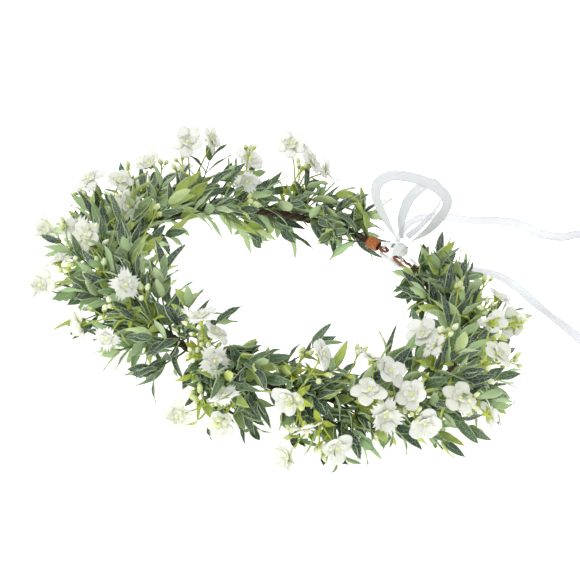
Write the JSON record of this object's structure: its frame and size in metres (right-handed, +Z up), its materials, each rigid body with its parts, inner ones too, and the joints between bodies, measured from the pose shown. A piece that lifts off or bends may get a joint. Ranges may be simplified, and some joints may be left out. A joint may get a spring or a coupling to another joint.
{
  "type": "flower crown",
  "caption": "Flower crown: an oval vine hoop, open at the back, dressed with frosted leaf sprigs and white blossom sprays and closed by a satin ribbon bow with two long tails.",
  "frame": {"origin": "on the table, midway along and across the crown without its ribbon tails", "axes": "+Z up; +Y towards the opening at the back of the head; +X to the wearer's right when the bow is at the back of the head"},
  "size_m": [0.2815, 0.4303, 0.0865],
  "materials": {
    "twisted_vine": "matte",
    "paper_wire": "matte",
    "floral_tape": "matte",
    "fabric_leaf": "matte",
    "frosted_blossom": "satin",
    "satin_ribbon": "satin"
  },
  "bodies": {
    "right_side": {"bow_loop_back": "satin_ribbon", "bow_loop_front": "satin_ribbon", "ribbon_knot": "satin_ribbon", "ribbon_lacing": "satin_ribbon", "ribbon_tail_back": "satin_ribbon", "ribbon_tail_side": "satin_ribbon", "right_end_loop": "paper_wire", "right_flower_spray_1": "frosted_blossom", "right_flower_spray_10": "frosted_blossom", "right_flower_spray_2": "frosted_blossom", "right_flower_spray_3": "frosted_blossom", "right_flower_spray_4": "frosted_blossom", "right_flower_spray_5": "frosted_blossom", "right_flower_spray_6": "frosted_blossom", "right_flower_spray_7": "frosted_blossom", "right_flower_spray_8": "frosted_blossom", "right_flower_spray_9": "frosted_blossom", "right_leaf_sprig_inner_1": "fabric_leaf", "right_leaf_sprig_inner_2": "fabric_leaf", "right_leaf_sprig_inner_3": "fabric_leaf", "right_leaf_sprig_low_1": "fabric_leaf", "right_leaf_sprig_low_2": "fabric_leaf", "right_leaf_sprig_low_3": "fabric_leaf", "right_leaf_sprig_low_4": "fabric_leaf", "right_leaf_sprig_outer_1": "fabric_leaf", "right_leaf_sprig_outer_2": "fabric_leaf", "right_leaf_sprig_outer_3": "fabric_leaf", "right_leaf_sprig_outer_4": "fabric_leaf", "right_leaf_sprig_upper_1": "fabric_leaf", "right_leaf_sprig_upper_2": "fabric_leaf", "right_leaf_sprig_upper_3": "fabric_leaf", "right_leaf_sprig_upper_4": "fabric_leaf", "right_tape_band": "floral_tape", "right_vine": "twisted_vine"},
    "left_side": {"left_end_loop": "paper_wire", "left_flower_spray_1": "frosted_blossom", "left_flower_spray_2": "frosted_blossom", "left_flower_spray_3": "frosted_blossom", "left_flower_spray_4": "frosted_blossom", "left_flower_spray_5": "frosted_blossom", "left_flower_spray_6": "frosted_blossom", "left_flower_spray_7": "frosted_blossom", "left_flower_spray_8": "frosted_blossom", "left_leaf_sprig_inner_1": "fabric_leaf", "left_leaf_sprig_inner_2": "fabric_leaf", "left_leaf_sprig_inner_3": "fabric_leaf", "left_leaf_sprig_low_1": "fabric_leaf", "left_leaf_sprig_low_2": "fabric_leaf", "left_leaf_sprig_low_3": "fabric_leaf", "left_leaf_sprig_low_4": "fabric_leaf", "left_leaf_sprig_outer_1": "fabric_leaf", "left_leaf_sprig_outer_2": "fabric_leaf", "left_leaf_sprig_outer_3": "fabric_leaf", "left_leaf_sprig_outer_4": "fabric_leaf", "left_leaf_sprig_upper_1": "fabric_leaf", "left_leaf_sprig_upper_2": "fabric_leaf", "left_leaf_sprig_upper_3": "fabric_leaf", "left_leaf_sprig_upper_4": "fabric_leaf", "left_tape_band": "floral_tape", "left_vine": "twisted_vine"}
  },
  "joints": [
    {"name": "hoop_flex", "type": "hinge", "parent": "right_side", "child": "left_side", "pos_m": [-0.0015, -0.079, 0.0252], "axis": [0, 0, 1], "range_deg": [-1, 8], "stiffness_Nm_per_rad": 3, "deforming": ["ribbon_lacing"]}
  ]
}
